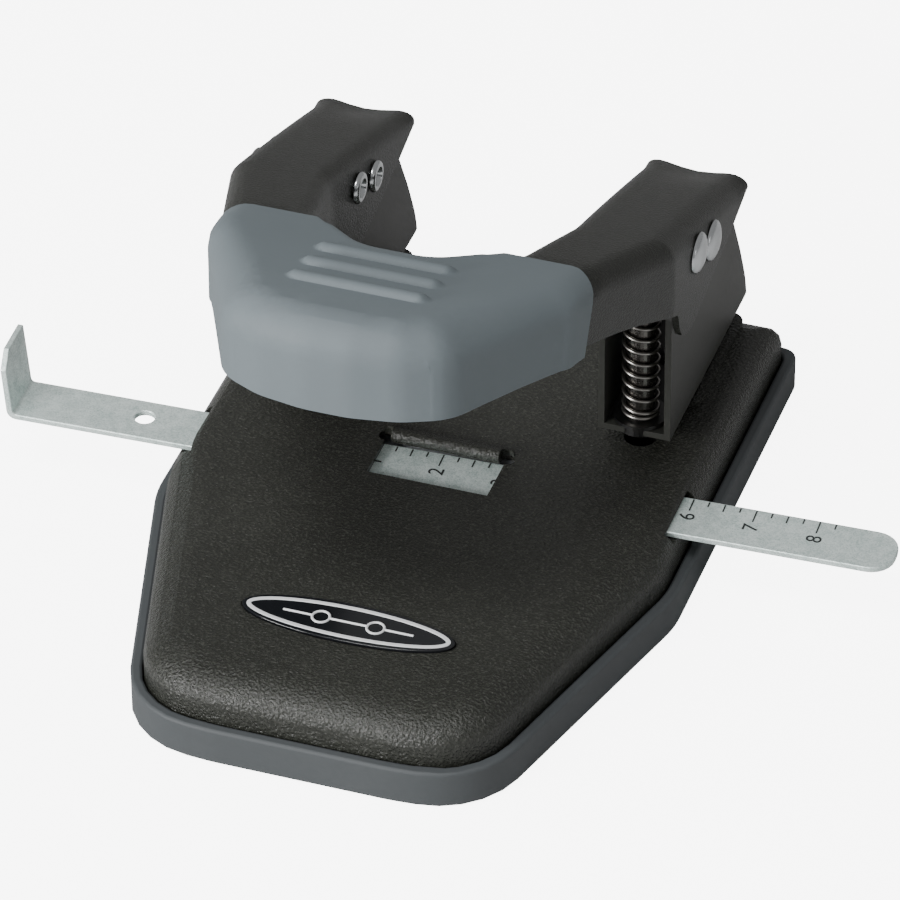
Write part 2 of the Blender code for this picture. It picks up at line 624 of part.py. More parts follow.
def make_lever_rivet(axis, name):
    """Shouldered rivet along X: domed head outside, rolled tubular end inside."""
    head = ARM_OUTER + 0.2 * MM
    tail = ARM_INNER - 0.2 * MM
    profile = [(0, head + 1.9 * MM), (1.6 * MM, head + 1.75 * MM), (3.0 * MM, head + 1.2 * MM),
               (4.2 * MM, head + 0.3 * MM), (4.2 * MM, head), (RIVET_SHANK, head), (RIVET_SHANK, tail),
               (3.2 * MM, tail), (3.2 * MM, tail - 0.5 * MM), (2.6 * MM, tail - 1.1 * MM),
               (1.4 * MM, tail - 1.1 * MM), (1.2 * MM, tail + 2.5 * MM), (0, tail + 2.5 * MM)]
    place = Matrix.Translation((0, axis.y, axis.z)) @ ALONG_X
    return bright_steel(smooth(turned(profile, place, 28)), name)


def make_pivot_washer(low, high, name):
    """Thrust washer on the pivot rivet, between a flange of the lever and the frame."""
    bore = RIVET_SHANK + GAP
    profile = [(bore, high - GAP), (4.0 * MM, high - GAP), (4.0 * MM, low + GAP), (bore, low + GAP)]
    washer = turned(profile, Matrix.Translation((0, PIVOT.y, PIVOT.z)) @ ALONG_X, 24, closed=True)
    return finish_piece(smooth(washer), name, (0.75, 0.74, 0.70), 0.5, 0.0)


def parent_to(empty, pieces):
    bpy.context.view_layer.update()
    for piece in pieces:
        piece.parent = empty
        piece.matrix_parent_inverse = empty.matrix_world.inverted()


def axis_empty(name, place):
    empty = bpy.data.objects.new(name, None)
    empty.location = place
    empty.empty_display_size = 0.01
    PARTS.objects.link(empty)
    return empty


clear_scene()
PARTS = new_collection("desk_hole_punch")
CUTTERS = new_collection("cutters")

base = [make_tray(), make_cover(), make_badge(), make_gauge_guide()]
gauge = make_gauge()
head_parts = [make_frame(), make_guide_bush(), make_stop_block(), make_die(), make_spring(),
              make_frame_rivet(RIVET_ROWS[0], "right_frame_rivet_front"),
              make_frame_rivet(RIVET_ROWS[1], "right_frame_rivet_rear"),
              make_pivot_washer(ARM_INNER + LEVER_SHEET, HEAD_X - FRAME_WIDTH / 2, "right_inner_washer"),
              make_pivot_washer(HEAD_X + FRAME_WIDTH / 2, ARM_OUTER - LEVER_SHEET, "right_outer_washer")]
pin_parts = [make_pin(), make_spring_collar()]
rivets = [make_lever_rivet(PIVOT, "right_pivot_rivet"), make_lever_rivet(DRIVE, "right_drive_rivet")]
lever = make_lever()
grip = make_grip()
bpy.context.view_layer.update()

twins = [copy_across(piece, piece.name.replace("right", "left")) for piece in head_parts]
pin_twins = [copy_across(piece, piece.name.replace("right", "left")) for piece in pin_parts]
rivet_twins = [copy_across(piece, piece.name.replace("right", "left")) for piece in rivets]

parent_to(axis_empty("lever_pivot_axis", PIVOT), [lever, grip] + rivets + rivet_twins)
parent_to(axis_empty("right_pin_axis", (HEAD_X, PIN_Y, PIN_TIP)), pin_parts)
parent_to(axis_empty("left_pin_axis", (-HEAD_X, PIN_Y, PIN_TIP)), pin_twins)
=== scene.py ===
"""Looks of the two-hole desk punch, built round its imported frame. Metres, +Z up, -Y towards the user."""
from math import cos, hypot, pi, radians, sin, sqrt

import bmesh
import bpy
from mathutils import Matrix, Vector


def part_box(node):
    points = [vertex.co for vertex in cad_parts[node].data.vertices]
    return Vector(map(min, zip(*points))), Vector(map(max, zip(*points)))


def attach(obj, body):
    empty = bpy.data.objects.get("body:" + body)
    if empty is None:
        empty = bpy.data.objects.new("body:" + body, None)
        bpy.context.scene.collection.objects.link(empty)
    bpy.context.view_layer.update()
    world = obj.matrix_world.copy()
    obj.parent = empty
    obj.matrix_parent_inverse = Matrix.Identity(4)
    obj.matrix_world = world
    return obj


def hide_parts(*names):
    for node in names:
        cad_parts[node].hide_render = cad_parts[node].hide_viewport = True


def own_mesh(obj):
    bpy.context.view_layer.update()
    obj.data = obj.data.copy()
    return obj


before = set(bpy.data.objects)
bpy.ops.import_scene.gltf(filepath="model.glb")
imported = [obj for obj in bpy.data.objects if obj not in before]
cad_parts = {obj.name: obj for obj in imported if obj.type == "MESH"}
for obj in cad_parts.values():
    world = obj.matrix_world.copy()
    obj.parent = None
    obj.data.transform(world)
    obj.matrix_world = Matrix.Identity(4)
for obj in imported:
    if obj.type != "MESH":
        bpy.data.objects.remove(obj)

MM = 0.001
SIDES = (("right", 1), ("left", -1))
REAR_CUT = 50.6 * MM
LEVER_SHEET = 1.3 * MM
GRIP_SHEET = 1.1 * MM
GRIP_REAR = -21.5 * MM
ARM_MIDDLE = 34.75 * MM
PIVOT_YZ = (25.7 * MM, 57.8 * MM)
DRIVE_YZ = (16.3 * MM, 61.3 * MM)
PIN_X, PIN_Y = 35.0 * MM, 13.4 * MM
WINDOW_REAR = -1.9 * MM
EIGHTH_INCH = 3.175 * MM

bpy.ops.object.select_all(action="DESELECT")
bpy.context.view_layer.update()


# ---------------------------------------------------------------- mesh helpers

def begin_edit():
    bpy.ops.object.mode_set(mode="EDIT")


def end_edit():
    bpy.ops.object.mode_set(mode="OBJECT")


def pick(kind, test):
    """In edit mode, selects only the verts, edges or faces that pass the test."""
    obj = bpy.context.object
    bpy.ops.mesh.select_mode(type=kind)
    bpy.ops.mesh.select_all(action="DESELECT")
    mesh = bmesh.from_edit_mesh(obj.data)
    items = {"VERT": mesh.verts, "EDGE": mesh.edges, "FACE": mesh.faces}[kind]
    for item in items:
        item.select_set(bool(test(item)))
    mesh.select_flush_mode()
    bmesh.update_edit_mesh(obj.data)


def middle(edge):
    """Midpoint of an edge."""
    return (edge.verts[0].co + edge.verts[1].co) / 2


def named(name):
    """Names the active object and its mesh."""
    obj = bpy.context.object
    obj.name = name
    obj.data.name = name
    return obj


def only(obj):
    """Selects this object alone and makes it the active one."""
    bpy.ops.object.select_all(action="DESELECT")
    obj.select_set(True)
    bpy.context.view_layer.objects.active = obj


def settle(obj):
    """Moves the object's place, turn and size into its mesh."""
    obj.data.transform(obj.matrix_world)
    obj.matrix_world = Matrix.Identity(4)
    return obj


def settle_scaled(obj):
    """The same for an object whose size or turn has only just been set."""
    bpy.context.view_layer.update()
    return settle(obj)


def joined(parts, name):
    """Joins separate parts into one named piece."""
    only(parts[0])
    for part in parts:
        part.select_set(True)
    bpy.ops.object.join()
    return named(name)


def recalc(obj):
    """Turns every face outwards."""
    bpy.context.view_layer.objects.active = obj
    begin_edit()
    bpy.ops.mesh.select_all(action="SELECT")
    bpy.ops.mesh.normals_make_consistent(inside=False)
    end_edit()


def apply_all(obj):
    only(obj)
    for modifier in list(obj.modifiers):
        bpy.ops.object.modifier_apply(modifier=modifier.name)


def soften(obj, width, segments=2, angle=40.0):
    """Takes the edge off every corner sharper than the angle, and evens the shading of flat faces."""
    bevel = obj.modifiers.new("Edges", "BEVEL")
    bevel.width = width
    bevel.segments = segments
    bevel.limit_method = "ANGLE"
    bevel.angle_limit = radians(angle)
    bevel.harden_normals = False
    weighted = obj.modifiers.new("Shading", "WEIGHTED_NORMAL")
    weighted.keep_sharp = True
    apply_all(obj)
    return obj


def smooth(obj, angle=40.0):
    only(obj)
    bpy.ops.object.shade_smooth_by_angle(angle=radians(angle))
    return obj


def rounded(corners, steps=6):
    """Outline through (x, y, radius) corners in millimetres, each turned as an arc."""
    points = []
    for index, (x, y, radius) in enumerate(corners):
        corner = Vector((x, y))
        if radius <= 0:
            points.append(corner * MM)
            continue
        before = (Vector(corners[index - 1][:2]) - corner).normalized()
        after = (Vector(corners[(index + 1) % len(corners)][:2]) - corner).normalized()
        half = before.angle(after) / 2
        centre = corner + (before + after).normalized() * (radius / sin(half))
        reach = radius * cos(half) / sin(half)
        first, last = corner + before * reach - centre, corner + after * reach - centre
        sweep = first.angle_signed(last)
        for step in range(steps + 1):
            turn = Matrix.Rotation(-sweep * step / steps, 2)
            points.append((centre + turn @ first) * MM)
    return points


def mirrored(half):
    """Corners of the right half, followed by the same on the left."""
    return half + [(-x, y, radius) for x, y, radius in reversed(half)]


def face_on(name, points, height=0.0):
    """Flat face with its rim on the given points."""
    bpy.ops.mesh.primitive_circle_add(vertices=len(points), fill_type="NGON")
    obj = named(name)
    for vert, point in zip(obj.data.vertices, points):
        vert.co = (point[0], point[1], height)
    return obj


def lathe(name, profile, place, sides=48):
    """Turned piece about its own Z: a ring extruded and resized along a (radius, height) profile."""
    radius, height = profile[0]
    bpy.ops.mesh.primitive_circle_add(vertices=sides, radius=radius * MM)
    obj = named(name)
    begin_edit()
    bpy.ops.mesh.select_all(action="SELECT")
    bpy.ops.transform.translate(value=(0, 0, height * MM))
    for new_radius, new_height in profile[1:]:
        bpy.ops.mesh.extrude_edges_move()
        bpy.ops.transform.translate(value=(0, 0, (new_height - height) * MM))
        scale = new_radius / radius
        bpy.ops.transform.resize(value=(scale, scale, 1), center_override=(0, 0, new_height * MM))
        radius, height = new_radius, new_height
    pick("EDGE", lambda edge: edge.is_boundary)
    bpy.ops.mesh.edge_face_add()
    bpy.ops.mesh.select_all(action="SELECT")
    bpy.ops.mesh.normals_make_consistent(inside=False)
    end_edit()
    obj.matrix_world = place
    return smooth(settle(obj), 35.0)


def refined(node, width, segments=2, cutters=()):
    """Copy of a CAD node: cut where asked, its triangles merged into clean faces, its corners softened."""
    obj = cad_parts[node].copy()
    obj.data = obj.data.copy()
    obj.parent = None
    obj.matrix_world = Matrix.Identity(4)
    for key in list(obj.keys()):
        del obj[key]
    bpy.context.scene.collection.objects.link(obj)
    only(obj)
    named(node + "_finished")
    begin_edit()
    bpy.ops.mesh.select_all(action="SELECT")
    bpy.ops.mesh.remove_doubles(threshold=0.00001)
    end_edit()
    for cutter in cutters:
        cut = obj.modifiers.new("Cut", "BOOLEAN")
        cut.operation = "DIFFERENCE"
        cut.solver = "EXACT"
        cut.object = cutter
        apply_all(obj)
        bpy.data.objects.remove(cutter)
    begin_edit()
    bpy.ops.mesh.select_all(action="SELECT")
    bpy.ops.mesh.remove_doubles(threshold=0.00002)
    bpy.ops.mesh.dissolve_limited(angle_limit=radians(1.0))
    end_edit()
    smooth(obj)
    return soften(obj, width, segments)


def hand_over(obj, body, material, slot, *nodes):
    """Gives a finished piece its material and its body, and hides the CAD nodes it stands for; the slot
    argument is not used.
    """
    obj.data.materials.clear()
    obj.data.materials.append(material)
    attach(obj, body)
    if nodes:
        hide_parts(*nodes)
    return obj


# ---------------------------------------------------------------- shader groups

def new_group(name, inputs, outputs):
    group = bpy.data.node_groups.new(name, "ShaderNodeTree")
    for label, kind, value in inputs:
        socket = group.interface.new_socket(label, in_out="INPUT", socket_type=kind)
        if value is not None:
            socket.default_value = value
    for label, kind in outputs:
        group.interface.new_socket(label, in_out="OUTPUT", socket_type=kind)
    return group, group.nodes.new("NodeGroupInput"), group.nodes.new("NodeGroupOutput")


def noise(tree, coordinates, scale, detail=2.0, kind="ShaderNodeTexNoise"):
    node = tree.nodes.new(kind)
    tree.links.new(coordinates, node.inputs["Vector"])
    if isinstance(scale, (int, float)):
        node.inputs["Scale"].default_value = scale
    else:
        tree.links.new(scale, node.inputs["Scale"])
    if "Detail" in node.inputs:
        node.inputs["Detail"].default_value = detail
    return node


def spread(tree, value, from_low, from_high, to_low, to_high):
    node = tree.nodes.new("ShaderNodeMapRange")
    tree.links.new(value, node.inputs["Value"])
    limits = {"From Min": from_low, "From Max": from_high, "To Min": to_low, "To Max": to_high}
    for label, number in limits.items():
        if isinstance(number, (int, float)):
            node.inputs[label].default_value = number
        else:
            tree.links.new(number, node.inputs[label])
    return node.outputs["Result"]


def make_pebble_group():
    """Fine wrinkled grain: a height, and a mask that is high on the crests, where the black paints get
    painted glints.
    """
    group, source, sink = new_group(
        "pebble grain", [("Scale", "NodeSocketFloat", 1300.0), ("Unevenness", "NodeSocketFloat", 0.3)],
        [("Height", "NodeSocketFloat"), ("Crest", "NodeSocketFloat")])
    place = group.nodes.new("ShaderNodeTexCoord").outputs["Object"]
    grain = noise(group, place, source.outputs["Scale"], 3.0)
    patch = noise(group, place, 90.0, 2.0)
    mix = group.nodes.new("ShaderNodeMath")
    mix.operation = "MULTIPLY_ADD"
    group.links.new(patch.outputs["Fac"], mix.inputs[0])
    group.links.new(source.outputs["Unevenness"], mix.inputs[1])
    group.links.new(grain.outputs["Fac"], mix.inputs[2])
    group.links.new(mix.outputs["Value"], sink.inputs["Height"])
    group.links.new(spread(group, grain.outputs["Fac"], 0.5, 0.72, 0.0, 1.0), sink.inputs["Crest"])
    return group


def make_wear_group():
    """Mask of handling marks: broad cloudy patches crossed by fine specks."""
    group, source, sink = new_group(
        "handling wear", [("Amount", "NodeSocketFloat", 0.5)], [("Mask", "NodeSocketFloat")])
    place = group.nodes.new("ShaderNodeTexCoord").outputs["Object"]
    cloud = noise(group, place, 45.0, 4.0)
    speck = noise(group, place, 700.0, 1.0)
    both = group.nodes.new("ShaderNodeMath")
    both.operation = "MULTIPLY"
    group.links.new(spread(group, cloud.outputs["Fac"], 0.35, 0.75, 0.0, 1.0), both.inputs[0])
    group.links.new(spread(group, speck.outputs["Fac"], 0.3, 0.7, 0.3, 1.0), both.inputs[1])
    scaled = group.nodes.new("ShaderNodeMath")
    scaled.operation = "MULTIPLY"
    group.links.new(both.outputs["Value"], scaled.inputs[0])
    group.links.new(source.outputs["Amount"], scaled.inputs[1])
    group.links.new(scaled.outputs["Value"], sink.inputs["Mask"])
    return group


PEBBLE = make_pebble_group()
WEAR = make_wear_group()


def new_material(name, colour, wear_and_glint_colour, roughness, worn_roughness, metallic=0.0, grain=1300.0,
                 relief=0.06, wear=0.6, strength=0.5, crest=0.0):
    """Painted, moulded or metal surface: grain in the relief, wear in the colour and the gloss, and painted
    glints as a lighter colour on the grain's crests.
    """
    material = bpy.data.materials.new(name)
    material.use_nodes = True
    tree = material.node_tree
    shader = tree.nodes["Principled BSDF"]
    shader.inputs["Metallic"].default_value = metallic
    pebble = tree.nodes.new("ShaderNodeGroup")
    pebble.node_tree = PEBBLE
    pebble.inputs["Scale"].default_value = grain
    worn = tree.nodes.new("ShaderNodeGroup")
    worn.node_tree = WEAR
    worn.inputs["Amount"].default_value = wear
    tint = tree.nodes.new("ShaderNodeMix")
    tint.data_type = "RGBA"
    tint.inputs["A"].default_value = (*colour, 1.0)
    tint.inputs["B"].default_value = (*wear_and_glint_colour, 1.0)
    # The lighter colour comes from the wear mask and, on the grain's crests, from painted glints that stand
    # in for the paint's sparkle of light.
    wear_and_glint = tree.nodes.new("ShaderNodeMath")
    wear_and_glint.operation = "MULTIPLY_ADD"
    wear_and_glint.use_clamp = True
    wear_and_glint.inputs[1].default_value = crest
    tree.links.new(pebble.outputs["Crest"], wear_and_glint.inputs[0])
    tree.links.new(worn.outputs["Mask"], wear_and_glint.inputs[2])
    tree.links.new(wear_and_glint.outputs["Value"], tint.inputs["Factor"])
    tree.links.new(tint.outputs["Result"], shader.inputs["Base Color"])
    gloss = spread(tree, worn.outputs["Mask"], 0.0, 1.0, roughness, worn_roughness)
    tree.links.new(gloss, shader.inputs["Roughness"])
    bump = tree.nodes.new("ShaderNodeBump")
    bump.inputs["Strength"].default_value = strength
    bump.inputs["Distance"].default_value = relief * MM
    tree.links.new(pebble.outputs["Height"], bump.inputs["Height"])
    tree.links.new(bump.outputs["Normal"], shader.inputs["Normal"])
    return material


def make_zinc():
    """Zinc plate: a fine sparkle of small crystals over soft cloudy bloom, with a faint green-blue cast."""
    material = new_material("spangled zinc", (0.60, 0.68, 0.67), (0.80, 0.88, 0.87), 0.36, 0.28,
                            0.45, 2600.0, 0.03, 0.8, 0.6)
    tree = material.node_tree
    shader = tree.nodes["Principled BSDF"]
    place = tree.nodes.new("ShaderNodeTexCoord").outputs["Object"]
    crystal = noise(tree, place, 3900.0, kind="ShaderNodeTexVoronoi")
    bloom = noise(tree, place, 420.0, 3.0)
    bright = tree.nodes.new("ShaderNodeSeparateColor")
    tree.links.new(crystal.outputs["Color"], bright.inputs["Color"])
    blend = tree.nodes.new("ShaderNodeMath")
    blend.operation = "MULTIPLY_ADD"
    blend.inputs[1].default_value = 0.55
    tree.links.new(bright.outputs["Red"], blend.inputs[0])
    tree.links.new(spread(tree, bloom.outputs["Fac"], 0.3, 0.7, 0.0, 0.45), blend.inputs[2])
    ramp = tree.nodes.new("ShaderNodeValToRGB")
    ramp.color_ramp.elements[0].color = (0.40, 0.53, 0.50, 1.0)
    ramp.color_ramp.elements[1].color = (0.90, 1.00, 0.97, 1.0)
    tree.links.new(blend.outputs["Value"], ramp.inputs["Fac"])
    tree.links.new(ramp.outputs["Color"], shader.inputs["Base Color"])
    tree.links.new(spread(tree, bright.outputs["Green"], 0.0, 1.0, 0.24, 0.46), shader.inputs["Roughness"])
    return material


# Both black paints lighten their grain crests: painted glints that stand in for the sparkle of light on the
# paint.
BLACK = new_material("pebbled black paint", (0.021, 0.022, 0.018), (0.056, 0.058, 0.049), 0.21, 0.34,
                     grain=1800.0, relief=0.40, wear=0.3, strength=1.0, crest=0.7)
LEVER_BLACK = new_material("fine black paint", (0.014, 0.015, 0.012), (0.038, 0.040, 0.034), 0.38, 0.50,
                           grain=2400.0, relief=0.20, wear=0.3, strength=0.9, crest=0.6)
FRAME_BLACK = new_material("smooth black paint", (0.026, 0.027, 0.023), (0.042, 0.043, 0.038), 0.44, 0.54,
                           grain=1900.0, relief=0.03, strength=0.4)
GREY_RUBBER = new_material("grey tray rubber", (0.062, 0.069, 0.073), (0.080, 0.087, 0.091), 0.60, 0.72,
                           grain=1700.0, relief=0.03, strength=0.4)
GRIP_RUBBER = new_material("soft grip rubber", (0.146, 0.174, 0.188), (0.168, 0.198, 0.212), 0.66, 0.76,
                           grain=2400.0, relief=0.015, wear=0.5, strength=0.35)
BRIGHT = new_material("bright rivet steel", (0.66, 0.68, 0.69), (0.55, 0.56, 0.57), 0.20, 0.34,
                      1.0, 3000.0, 0.006, 0.7, 0.3)
# The punch pin's steel is made dark as painted shade, for the shade inside its coil and the frame's pocket.
SHADED_PIN_STEEL = new_material("oiled pin steel", (0.15, 0.14, 0.13), (0.22, 0.21, 0.195), 0.26, 0.38,
                         1.0, 3500.0, 0.004, 0.7, 0.3)
SPRING_STEEL = new_material("oiled spring wire", (0.40, 0.385, 0.36), (0.30, 0.285, 0.265), 0.30, 0.42,
                            1.0, 3500.0, 0.004, 0.8, 0.3)
DARK_STEEL = new_material("oiled dark steel", (0.10, 0.10, 0.10), (0.17, 0.165, 0.16), 0.32, 0.46,
                          1.0, 2200.0, 0.010, 0.8, 0.4)
PLAIN_STEEL = new_material("plain pressed steel", (0.36, 0.37, 0.38), (0.28, 0.28, 0.28), 0.38, 0.50,
                           1.0, 2200.0, 0.012, 0.7, 0.4)
NYLON = new_material("washer nylon", (0.68, 0.67, 0.62), (0.60, 0.58, 0.52), 0.48, 0.58,
                     grain=2600.0, relief=0.008, wear=0.6, strength=0.3)
ENAMEL = new_material("badge enamel", (0.010, 0.011, 0.013), (0.015, 0.016, 0.018), 0.12, 0.22,
                      grain=2600.0, relief=0.003, wear=0.5, strength=0.2)
SILVER = new_material("badge silver", (0.90, 0.91, 0.92), (0.78, 0.79, 0.80), 0.30, 0.42,
                      0.1, 2800.0, 0.004, 0.5, 0.3)
MARK_INK = new_material("scale marks", (0.018, 0.021, 0.021), (0.045, 0.050, 0.050), 0.42, 0.55,
                        0.0, 2400.0, 0.004, 0.7, 0.3)
ZINC = make_zinc()


# ---------------------------------------------------------------- lever and grip

def between(value, low, high):
    """Smooth step from 0 at the low end to 1 at the high end."""
    share = min(max((value - low) / (high - low), 0.0), 1.0)
    return share * share * (3 - 2 * share)


def along(points, y):
    """Value at y on a line through points given in millimetres, front to rear."""
    y /= MM
    for (y0, z0), (y1, z1) in zip(points, points[1:]):
        if y <= y1:
            return (z0 + (z1 - z0) * max((y - y0) / (y1 - y0), 0.0)) * MM
    return points[-1][1] * MM


def lever_top(y):
    """Height of the lever's upper face, which slopes down to the rear and is arched a little."""
    return 74.2 * MM - 0.322 * y - 0.55 * y * y


# Lower edges as (y, z), and the grip's half width as (y, x), in millimetres.
FLANGE = [(-80, 75.0), (-58, 73.2), (-31, 68.6), (-20, 65.2), (-12, 62.3), (0, 56.9), (3.6, 55.2),
          (4.3, 54.2), (5.4, 50.6), (6.8, 48.2), (9, 46.5), (12.5, 45.5), (16, 45.7), (40.7, 51.1),
          (50.2, 53.7)]
GRIP_SIDE = [(-71, 19.0), (-66, 21.5), (-45, 31.1), (-39, 33.8), (-35, 35.4), (-31, 36.5), (-27, 37.3),
             (-22, 38.1), (-15, 38.8)]
GRIP_EDGE = [(-75, 74.6), (-69, 74.2), (-58, 72.5), (-47, 70.5), (-31, 67.0), (-15, 62.0)]


def cut_across(stations, axis):
    """Cuts the whole shape by planes, so that it can bend along the axis."""
    normal = (1, 0, 0) if axis == 0 else (0, 1, 0)
    for station in stations:
        bpy.ops.mesh.select_all(action="SELECT")
        place = (station * MM, 0, 0) if axis == 0 else (0, station * MM, 0)
        bpy.ops.mesh.bisect(plane_co=place, plane_no=normal)


def cap(name, points, depth):
    """Open-bottomed cap: a face on its outline at z = 0 with walls straight down."""
    obj = face_on(name, points)
    begin_edit()
    bpy.ops.mesh.select_all(action="SELECT")
    bpy.ops.mesh.extrude_region_move(TRANSFORM_OT_translate={"value": (0, 0, -depth)})
    pick("FACE", lambda face: all(abs(vert.co.z + depth) < 1e-6 for vert in face.verts))
    bpy.ops.mesh.delete(type="ONLY_FACE")
    return obj


def sheet(obj, thickness, edge, even=True):
    """Gives an open shell the thickness of its material, inwards, and breaks its edges."""
    recalc(obj)
    wall = obj.modifiers.new("Thickness", "SOLIDIFY")
    wall.thickness = thickness
    wall.offset = -1.0
    wall.use_even_offset = even
    apply_all(obj)
    smooth(obj, 45.0)
    return soften(obj, edge, 2, 55.0)


def make_lever():
    """Forked pressing: rounded upper edges, bent along its length, flanges lobed round the rivets."""
    plan = rounded(mirrored([
        (9.0, -31.6, 10), (20.0, -21.5, 14), (24.4, 2.0, 30), (24.4, 50.6, 0), (45.1, 50.6, 0),
        (45.1, 1.5, 7), (35.6, -30.0, 20), (20.2, -62.6, 7), (10.0, -67.6, 14)]), 6)
    depth = 30 * MM
    lever = cap("lever_shell", plan, depth)

    def on_rim(edge):
        return all(abs(vert.co.z) < 1e-6 for vert in edge.verts) and middle(edge).y < 50.5 * MM

    def outer(edge):
        place = middle(edge)
        return abs(place.x) > ARM_MIDDLE or place.y < -40 * MM or abs(place.x) > 30 * MM and place.y < -5 * MM

    pick("EDGE", lambda edge: on_rim(edge) and outer(edge))
    bpy.ops.mesh.bevel(offset=5.0 * MM, segments=6, profile=0.5, clamp_overlap=False)
    pick("EDGE", lambda edge: on_rim(edge) and not outer(edge) and len(edge.link_faces) == 2
         and any(abs(face.normal.z) < 0.01 for face in edge.link_faces))
    bpy.ops.mesh.bevel(offset=3.4 * MM, segments=5, profile=0.5, clamp_overlap=False)
    cut_across([-62, -56, -50, -44, -38, -32, -26, -22, -18, -14, -10, -6, -2, 1, 3.6, 4.3, 5.4, 6.8, 9, 12.5,
                16, 20, 24, 28, 32, 36, 40.7, 43, 45.5, 48, 49.6], 1)
    cut_across([side * x for side in (-1, 1) for x in (28.5, 31.5, 34.75, 38.0)], 0)
    end_edit()
    for vert in lever.data.vertices:
        x, y, z = vert.co
        top, under = lever_top(y), along(FLANGE, y)
        if z < -depth + 1e-6:
            vert.co.z = under
            continue
        room = top - under - 0.3 * MM
        aside = min(abs(abs(x) - ARM_MIDDLE) / (9.5 * MM), 1.0)
        dish = 1.2 * MM * between(y, 36 * MM, REAR_CUT) * cos(aside * pi / 2) ** 2
        tuck = 1.5 * MM * (1 - between(y, -25.0 * MM, GRIP_REAR))
        vert.co.z = top + z * min(1.0, room / (5.0 * MM)) - dish - tuck
    begin_edit()
    pick("FACE", lambda face: face.normal.y > 0.9 and face.calc_center_median().y > 50.0 * MM)
    bpy.ops.mesh.delete(type="FACE")
    end_edit()
    return sheet(lever, LEVER_SHEET, 0.22 * MM)


def distance_to(point, start, end):
    """Distance from a point to a straight edge."""
    edge = end - start
    share = min(max((point - start).dot(edge) / max(edge.length_squared, 1e-12), 0.0), 1.0)
    return (point - start - edge * share).length


def rounding(point, edges, radius):
    """How far a rounded rim has fallen at a point, by its distance from the rim's edges."""
    inward = min(min(distance_to(point, start, end) for start, end in edges), radius)
    return radius - sqrt(max(radius ** 2 - (radius - inward) ** 2, 0.0))


RIBS = (-35.8, -43.5, -51.1)


def rib_height(x, y):
    """Relief of the three finger ribs, each a half-round bead with round ends."""
    raised = 0.0
    for row in RIBS:
        away = hypot(max(abs(x) - 11.7 * MM, 0.0), y - row * MM)
        raised = max(raised, 1.25 * MM * max(1 - (away / (2.1 * MM)) ** 2, 0.0) ** 0.8)
    return raised


def make_grip():
    """Soft moulded sleeve: its upper edge rounds off more and more towards the front."""
    plan = rounded(mirrored([
        (7.0, -29.9, 10), (17.5, -20.5, 8), (20.6, -15.0, 0), (38.8, -15.0, 0), (37.5, -31.0, 22),
        (22.4, -64.2, 12), (13.8, -68.9, 14), (4.5, -70.6, 20)]), 7)
    depth = 25 * MM
    grip = cap("grip_sleeve", plan, depth)
    pick("FACE", lambda face: abs(face.normal.z) > 0.9)
    for step in (0.35, 0.5, 0.7, 0.9, 1.1, 1.3, 1.5, 1.7):
        bpy.ops.mesh.inset(thickness=step * MM, use_boundary=True, use_even_offset=True)
    pick("FACE", lambda face: abs(face.normal.z) > 0.9 and abs(face.calc_center_median().x) < 15 * MM
         and -54.5 * MM < face.calc_center_median().y < -31.6 * MM)
    bpy.ops.mesh.dissolve_faces(use_verts=True)
    cut_across([step * 1.5 for step in range(-14, 15)], 0)
    cut_across([-66, -62, -58] + [-55 + step for step in range(24)] + [-30, -27, -24, -21.5], 1)
    bpy.ops.mesh.select_all(action="SELECT")
    bpy.ops.mesh.bisect(plane_co=(0, GRIP_REAR, 0), plane_no=(0, 1, 0), clear_outer=True)
    pick("FACE", lambda face: face.normal.y > 0.9 and face.calc_center_median().y > -22 * MM)
    bpy.ops.mesh.delete(type="ONLY_FACE")
    pick("FACE", lambda face: abs(face.normal.z) > 0.9 and abs(face.calc_center_median().x) < 15.5 * MM
         and -55 * MM < face.calc_center_median().y < -32 * MM)
    bpy.ops.mesh.subdivide(number_cuts=2)
    bpy.ops.mesh.select_all(action="SELECT")
    bpy.ops.mesh.remove_doubles(threshold=0.00020)
    end_edit()
    edges = [(Vector(plan[index - 1]), Vector(plan[index])) for index in range(len(plan))]
    inner = [edge for edge in edges
             if max(abs(edge[0].x), abs(edge[1].x)) < 20.7 * MM and edge[0].y > -31 * MM]
    outer = [edge for edge in edges if edge not in inner and min(edge[0].y, edge[1].y) < -15.1 * MM]
    for vert in grip.data.vertices:
        x, y, z = vert.co
        at_hem = z < -depth + 1e-6
        radius = (5.6 + 3.4 * between(-y, 24 * MM, 62 * MM)) * MM
        drop = 15 * MM
        if not at_hem:
            flat = Vector((x, y))
            drop = max(rounding(flat, outer, radius), rounding(flat, inner, 1.6 * MM))
        if abs(x) > 15 * MM:
            level = along(GRIP_SIDE, y)
            y -= 2.0 * MM * sqrt(drop / MM) * between(y, -42 * MM, GRIP_REAR)
            x *= 1 + (along(GRIP_SIDE, y) / level - 1) * between(abs(x), 22 * MM, 36 * MM)
        hem = along(GRIP_EDGE, y)
        vert.co = (x, y, hem if at_hem else lever_top(y) + 0.4 * MM - drop + rib_height(x, y))
    return sheet(grip, GRIP_SHEET, 0.25 * MM, even=False)


# ---------------------------------------------------------------- rivets, pins and springs

def on_x(yz):
    """Places a turned piece along X: its own +Z points outwards on the right."""
    return Matrix.Translation((0, *yz)) @ Matrix.Rotation(pi / 2, 4, "Y")


def make_lever_rivet(name, yz, side):
    """Shouldered rivet: shallow dome outside, tube end rolled over inside."""
    profile = [(0.15, 46.75), (1.2, 46.7), (2.3, 46.53), (3.2, 46.22), (3.8, 45.9), (4.12, 45.6), (4.2, 45.3),
               (2.0, 45.3), (2.0, 24.2), (3.05, 24.2), (3.25, 24.0), (3.25, 23.7), (3.0, 23.3), (2.55, 23.08),
               (2.05, 23.12), (1.7, 23.5), (1.45, 24.4), (1.4, 26.4), (0.15, 26.4)]
    place = Matrix.Scale(side, 4, (1, 0, 0)) @ on_x(yz)
    rivet = lathe(name, profile, place)
    recalc(rivet)
    return smooth(rivet, 35.0)


